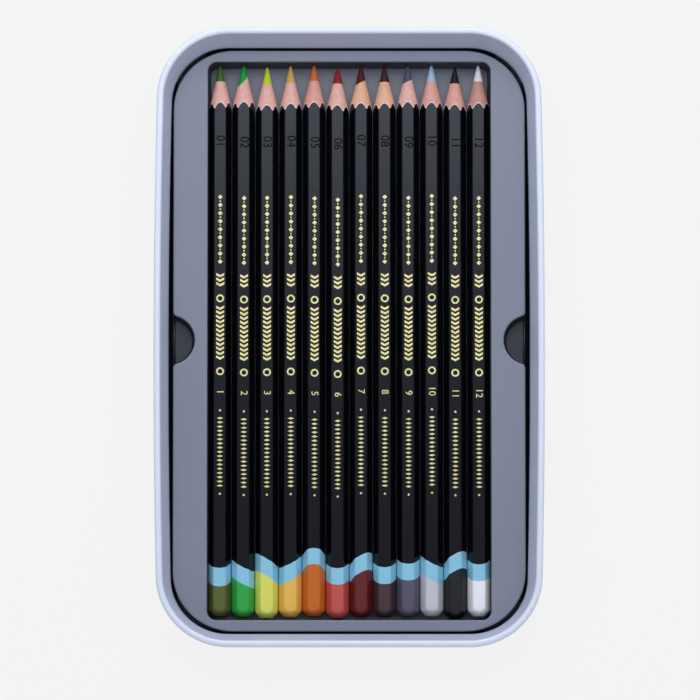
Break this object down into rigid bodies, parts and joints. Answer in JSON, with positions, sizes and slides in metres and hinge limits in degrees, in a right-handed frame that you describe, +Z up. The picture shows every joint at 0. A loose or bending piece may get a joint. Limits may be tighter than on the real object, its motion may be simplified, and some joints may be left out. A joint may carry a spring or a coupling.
{
  "type": "colored pencil tin",
  "caption": "Open flat metal pencil tin with a rolled rim, a lift-out plastic tray with finger notches, and a row of sharpened hexagonal colored pencils.",
  "frame": {"origin": "middle of the tin's flat underside", "axes": "+Y along the pencils, towards their points; +Z up, out of the open tin; +X to the right of a person who looks down on it with the points away from them"},
  "size_m": [0.1236, 0.1986, 0.016],
  "materials": {
    "tin_plate": "satin silver lacquer over tinplate, paler on the rolled rim",
    "tray_plastic": "satin grey thermoformed sheet",
    "pencil_casing": "satin black lacquer over cedar, bare wood at the sharpened point",
    "core_01": "moss green pigmented core, matte with a waxy sheen",
    "core_02": "leaf green pigmented core, matte with a waxy sheen",
    "core_03": "lime pigmented core, matte with a waxy sheen",
    "core_04": "ochre pigmented core, matte with a waxy sheen",
    "core_05": "orange brown pigmented core, matte with a waxy sheen",
    "core_06": "brick pigmented core, matte with a waxy sheen",
    "core_07": "dark red pigmented core, matte with a waxy sheen",
    "core_08": "brown pigmented core, matte with a waxy sheen",
    "core_09": "slate pigmented core, matte with a waxy sheen",
    "core_10": "pale grey blue pigmented core, matte with a waxy sheen",
    "core_11": "black pigmented core, matte with a waxy sheen",
    "core_12": "white pigmented core, matte with a waxy sheen"
  },
  "bodies": {
    "tin": {"tin_wall": "tin_plate", "tin_floor": "tin_plate"},
    "tray": {"insert_tray": "tray_plastic"},
    "pencil_01": {"pencil_01_barrel": "pencil_casing", "pencil_01_core": "core_01"},
    "pencil_02": {"pencil_02_barrel": "pencil_casing", "pencil_02_core": "core_02"},
    "pencil_03": {"pencil_03_barrel": "pencil_casing", "pencil_03_core": "core_03"},
    "pencil_04": {"pencil_04_barrel": "pencil_casing", "pencil_04_core": "core_04"},
    "pencil_05": {"pencil_05_barrel": "pencil_casing", "pencil_05_core": "core_05"},
    "pencil_06": {"pencil_06_barrel": "pencil_casing", "pencil_06_core": "core_06"},
    "pencil_07": {"pencil_07_barrel": "pencil_casing", "pencil_07_core": "core_07"},
    "pencil_08": {"pencil_08_barrel": "pencil_casing", "pencil_08_core": "core_08"},
    "pencil_09": {"pencil_09_barrel": "pencil_casing", "pencil_09_core": "core_09"},
    "pencil_10": {"pencil_10_barrel": "pencil_casing", "pencil_10_core": "core_10"},
    "pencil_11": {"pencil_11_barrel": "pencil_casing", "pencil_11_core": "core_11"},
    "pencil_12": {"pencil_12_barrel": "pencil_casing", "pencil_12_core": "core_12"}
  },
  "joints": [
    {"name": "tray_lift", "type": "slide", "parent": "tin", "child": "tray", "axis": [0, 0, 1], "range_m": [0, 0.022]},
    {"name": "pencil_01_lift", "type": "slide", "parent": "tray", "child": "pencil_01", "axis": [0, 0, 1], "range_m": [0, 0.018]},
    {"name": "pencil_02_lift", "type": "slide", "parent": "tray", "child": "pencil_02", "axis": [0, 0, 1], "range_m": [0, 0.018]},
    {"name": "pencil_03_lift", "type": "slide", "parent": "tray", "child": "pencil_03", "axis": [0, 0, 1], "range_m": [0, 0.018]},
    {"name": "pencil_04_lift", "type": "slide", "parent": "tray", "child": "pencil_04", "axis": [0, 0, 1], "range_m": [0, 0.018]},
    {"name": "pencil_05_lift", "type": "slide", "parent": "tray", "child": "pencil_05", "axis": [0, 0, 1], "range_m": [0, 0.018]},
    {"name": "pencil_06_lift", "type": "slide", "parent": "tray", "child": "pencil_06", "axis": [0, 0, 1], "range_m": [0, 0.018]},
    {"name": "pencil_07_lift", "type": "slide", "parent": "tray", "child": "pencil_07", "axis": [0, 0, 1], "range_m": [0, 0.018]},
    {"name": "pencil_08_lift", "type": "slide", "parent": "tray", "child": "pencil_08", "axis": [0, 0, 1], "range_m": [0, 0.018]},
    {"name": "pencil_09_lift", "type": "slide", "parent": "tray", "child": "pencil_09", "axis": [0, 0, 1], "range_m": [0, 0.018]},
    {"name": "pencil_10_lift", "type": "slide", "parent": "tray", "child": "pencil_10", "axis": [0, 0, 1], "range_m": [0, 0.018]},
    {"name": "pencil_11_lift", "type": "slide", "parent": "tray", "child": "pencil_11", "axis": [0, 0, 1], "range_m": [0, 0.018]},
    {"name": "pencil_12_lift", "type": "slide", "parent": "tray", "child": "pencil_12", "axis": [0, 0, 1], "range_m": [0, 0.018]}
  ]
}
